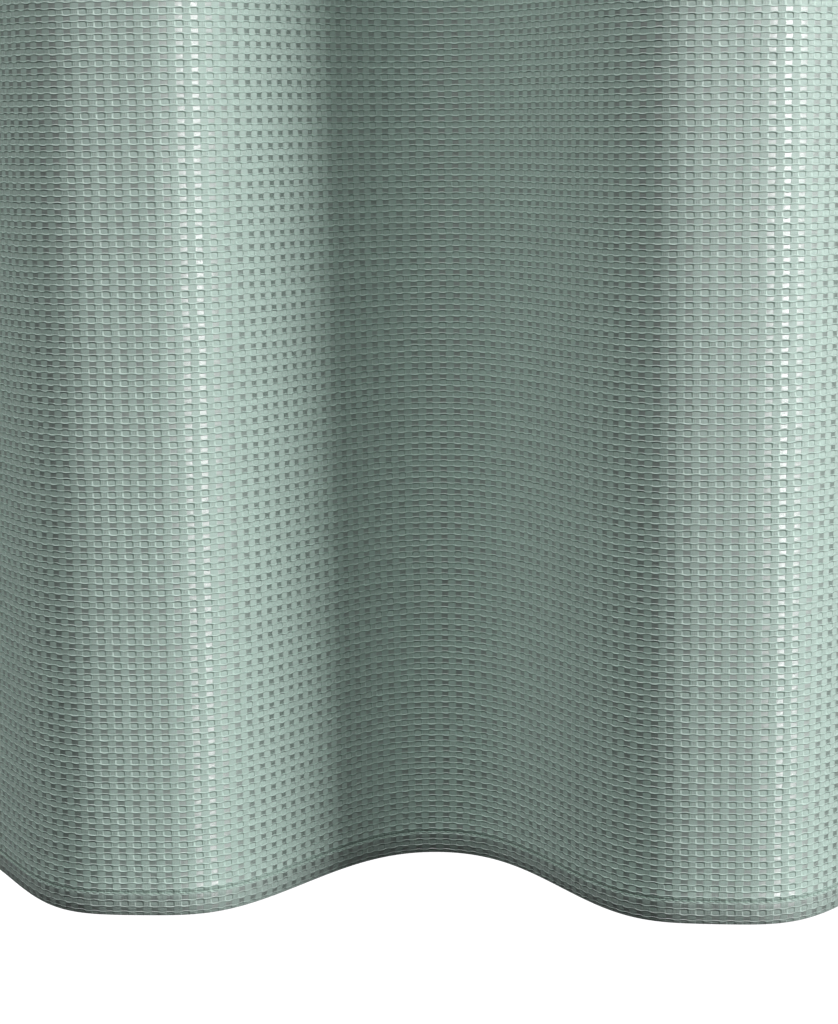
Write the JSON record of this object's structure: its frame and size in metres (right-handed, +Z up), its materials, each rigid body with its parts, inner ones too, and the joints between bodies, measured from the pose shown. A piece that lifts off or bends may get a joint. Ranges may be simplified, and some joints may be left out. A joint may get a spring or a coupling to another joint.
{
  "type": "shower curtain",
  "caption": "Fabric shower curtain with a waffle weave, hung in even folds from wire rings through metal grommets in a stiffened header, with a narrow stitched hem; the folds open and gather.",
  "frame": {"origin": "on the axis of the rod that the rings hang on, half way along the curtain", "axes": "+Z up, +X along the rod, front face of the curtain towards -Y"},
  "size_m": [1.3468, 0.0965, 1.872],
  "materials": {
    "cloth": "satin waffle weave, sage green",
    "header_tape": "matt woven stiffener",
    "grommet": "satin nickel",
    "ring": "polished wire"
  },
  "bodies": {
    "first_ring": {"ring_01": "ring"},
    "bay_01": {"cloth_bay_01": "cloth", "header_tape_01": "header_tape", "grommet_eyelet_01": "grommet", "grommet_washer_01": "grommet"},
    "bay_02": {"cloth_bay_02": "cloth", "header_tape_02": "header_tape", "grommet_eyelet_02": "grommet", "grommet_washer_02": "grommet"},
    "bay_03": {"cloth_bay_03": "cloth", "header_tape_03": "header_tape", "grommet_eyelet_03": "grommet", "grommet_washer_03": "grommet"},
    "bay_04": {"cloth_bay_04": "cloth", "header_tape_04": "header_tape", "grommet_eyelet_04": "grommet", "grommet_washer_04": "grommet"},
    "bay_05": {"cloth_bay_05": "cloth", "header_tape_05": "header_tape", "grommet_eyelet_05": "grommet", "grommet_washer_05": "grommet"},
    "bay_06": {"cloth_bay_06": "cloth", "header_tape_06": "header_tape", "grommet_eyelet_06": "grommet", "grommet_washer_06": "grommet"},
    "bay_07": {"cloth_bay_07": "cloth", "header_tape_07": "header_tape", "grommet_eyelet_07": "grommet", "grommet_washer_07": "grommet"},
    "bay_08": {"cloth_bay_08": "cloth", "header_tape_08": "header_tape", "grommet_eyelet_08": "grommet", "grommet_washer_08": "grommet"},
    "bay_09": {"cloth_bay_09": "cloth", "header_tape_09": "header_tape", "grommet_eyelet_09": "grommet", "grommet_washer_09": "grommet"},
    "bay_10": {"cloth_bay_10": "cloth", "header_tape_10": "header_tape", "grommet_eyelet_10": "grommet", "grommet_washer_10": "grommet"},
    "bay_11": {"cloth_bay_11": "cloth", "header_tape_11": "header_tape", "grommet_eyelet_11": "grommet", "grommet_washer_11": "grommet"},
    "bay_12": {"cloth_bay_12": "cloth", "header_tape_12": "header_tape", "grommet_eyelet_12": "grommet", "grommet_washer_12": "grommet"},
    "hook_ring_02": {"ring_02": "ring"},
    "hook_ring_03": {"ring_03": "ring"},
    "hook_ring_04": {"ring_04": "ring"},
    "hook_ring_05": {"ring_05": "ring"},
    "hook_ring_06": {"ring_06": "ring"},
    "hook_ring_07": {"ring_07": "ring"},
    "hook_ring_08": {"ring_08": "ring"},
    "hook_ring_09": {"ring_09": "ring"},
    "hook_ring_10": {"ring_10": "ring"},
    "hook_ring_11": {"ring_11": "ring"},
    "hook_ring_12": {"ring_12": "ring"}
  },
  "joints": [
    {"name": "draw_curtain", "type": "hinge", "parent": "first_ring", "child": "bay_01", "pos_m": [-0.65225, 0, -0.0424], "axis": [0, 0, -1], "range_deg": [-38, 28]},
    {"name": "fold_02", "type": "hinge", "parent": "bay_01", "child": "bay_02", "pos_m": [-0.59158, -0.04113, -0.0424], "axis": [0, 0, 1], "range_deg": [-77, 57]},
    {"name": "fold_03", "type": "hinge", "parent": "bay_02", "child": "bay_03", "pos_m": [-0.47327, 0.0523, -0.0424], "axis": [0, 0, -1], "range_deg": [-77, 57]},
    {"name": "fold_04", "type": "hinge", "parent": "bay_03", "child": "bay_04", "pos_m": [-0.35495, -0.04113, -0.0424], "axis": [0, 0, 1], "range_deg": [-77, 57]},
    {"name": "fold_05", "type": "hinge", "parent": "bay_04", "child": "bay_05", "pos_m": [-0.23663, 0.0523, -0.0424], "axis": [0, 0, -1], "range_deg": [-77, 57]},
    {"name": "fold_06", "type": "hinge", "parent": "bay_05", "child": "bay_06", "pos_m": [-0.11832, -0.04113, -0.0424], "axis": [0, 0, 1], "range_deg": [-77, 57]},
    {"name": "fold_07", "type": "hinge", "parent": "bay_06", "child": "bay_07", "pos_m": [0, 0.0523, -0.0424], "axis": [0, 0, -1], "range_deg": [-77, 57]},
    {"name": "fold_08", "type": "hinge", "parent": "bay_07", "child": "bay_08", "pos_m": [0.11832, -0.04113, -0.0424], "axis": [0, 0, 1], "range_deg": [-77, 57]},
    {"name": "fold_09", "type": "hinge", "parent": "bay_08", "child": "bay_09", "pos_m": [0.23663, 0.0523, -0.0424], "axis": [0, 0, -1], "range_deg": [-77, 57]},
    {"name": "fold_10", "type": "hinge", "parent": "bay_09", "child": "bay_10", "pos_m": [0.35495, -0.04113, -0.0424], "axis": [0, 0, 1], "range_deg": [-77, 57]},
    {"name": "fold_11", "type": "hinge", "parent": "bay_10", "child": "bay_11", "pos_m": [0.47327, 0.0523, -0.0424], "axis": [0, 0, -1], "range_deg": [-77, 57]},
    {"name": "fold_12", "type": "hinge", "parent": "bay_11", "child": "bay_12", "pos_m": [0.59158, -0.04113, -0.0424], "axis": [0, 0, 1], "range_deg": [-77, 57]},
    {"name": "ring_turn_02", "type": "hinge", "parent": "bay_02", "child": "hook_ring_02", "pos_m": [-0.53092, 0, -0.0424], "axis": [0, 0, -1], "range_deg": [-19.5, 14.5]},
    {"name": "ring_turn_03", "type": "hinge", "parent": "bay_03", "child": "hook_ring_03", "pos_m": [-0.41562, 0, -0.0424], "axis": [0, 0, 1], "range_deg": [-19.5, 14.5]},
    {"name": "ring_turn_04", "type": "hinge", "parent": "bay_04", "child": "hook_ring_04", "pos_m": [-0.29428, 0, -0.0424], "axis": [0, 0, -1], "range_deg": [-19.5, 14.5]},
    {"name": "ring_turn_05", "type": "hinge", "parent": "bay_05", "child": "hook_ring_05", "pos_m": [-0.17898, 0, -0.0424], "axis": [0, 0, 1], "range_deg": [-19.5, 14.5]},
    {"name": "ring_turn_06", "type": "hinge", "parent": "bay_06", "child": "hook_ring_06", "pos_m": [-0.05765, 0, -0.0424], "axis": [0, 0, -1], "range_deg": [-19.5, 14.5]},
    {"name": "ring_turn_07", "type": "hinge", "parent": "bay_07", "child": "hook_ring_07", "pos_m": [0.05765, 0, -0.0424], "axis": [0, 0, 1], "range_deg": [-19.5, 14.5]},
    {"name": "ring_turn_08", "type": "hinge", "parent": "bay_08", "child": "hook_ring_08", "pos_m": [0.17898, 0, -0.0424], "axis": [0, 0, -1], "range_deg": [-19.5, 14.5]},
    {"name": "ring_turn_09", "type": "hinge", "parent": "bay_09", "child": "hook_ring_09", "pos_m": [0.29428, 0, -0.0424], "axis": [0, 0, 1], "range_deg": [-19.5, 14.5]},
    {"name": "ring_turn_10", "type": "hinge", "parent": "bay_10", "child": "hook_ring_10", "pos_m": [0.41562, 0, -0.0424], "axis": [0, 0, -1], "range_deg": [-19.5, 14.5]},
    {"name": "ring_turn_11", "type": "hinge", "parent": "bay_11", "child": "hook_ring_11", "pos_m": [0.53092, 0, -0.0424], "axis": [0, 0, 1], "range_deg": [-19.5, 14.5]},
    {"name": "ring_turn_12", "type": "hinge", "parent": "bay_12", "child": "hook_ring_12", "pos_m": [0.65225, 0, -0.0424], "axis": [0, 0, -1], "range_deg": [-19.5, 14.5]}
  ],
  "couplings": [
    {"joint": "fold_02", "follows": "draw_curtain", "ratio": 2},
    {"joint": "fold_03", "follows": "draw_curtain", "ratio": 2},
    {"joint": "fold_04", "follows": "draw_curtain", "ratio": 2},
    {"joint": "fold_05", "follows": "draw_curtain", "ratio": 2},
    {"joint": "fold_06", "follows": "draw_curtain", "ratio": 2},
    {"joint": "fold_07", "follows": "draw_curtain", "ratio": 2},
    {"joint": "fold_08", "follows": "draw_curtain", "ratio": 2},
    {"joint": "fold_09", "follows": "draw_curtain", "ratio": 2},
    {"joint": "fold_10", "follows": "draw_curtain", "ratio": 2},
    {"joint": "fold_11", "follows": "draw_curtain", "ratio": 2},
    {"joint": "fold_12", "follows": "draw_curtain", "ratio": 2},
    {"joint": "ring_turn_02", "follows": "draw_curtain", "ratio": 0.5},
    {"joint": "ring_turn_03", "follows": "draw_curtain", "ratio": 0.5},
    {"joint": "ring_turn_04", "follows": "draw_curtain", "ratio": 0.5},
    {"joint": "ring_turn_05", "follows": "draw_curtain", "ratio": 0.5},
    {"joint": "ring_turn_06", "follows": "draw_curtain", "ratio": 0.5},
    {"joint": "ring_turn_07", "follows": "draw_curtain", "ratio": 0.5},
    {"joint": "ring_turn_08", "follows": "draw_curtain", "ratio": 0.5},
    {"joint": "ring_turn_09", "follows": "draw_curtain", "ratio": 0.5},
    {"joint": "ring_turn_10", "follows": "draw_curtain", "ratio": 0.5},
    {"joint": "ring_turn_11", "follows": "draw_curtain", "ratio": 0.5},
    {"joint": "ring_turn_12", "follows": "draw_curtain", "ratio": 0.5}
  ]
}
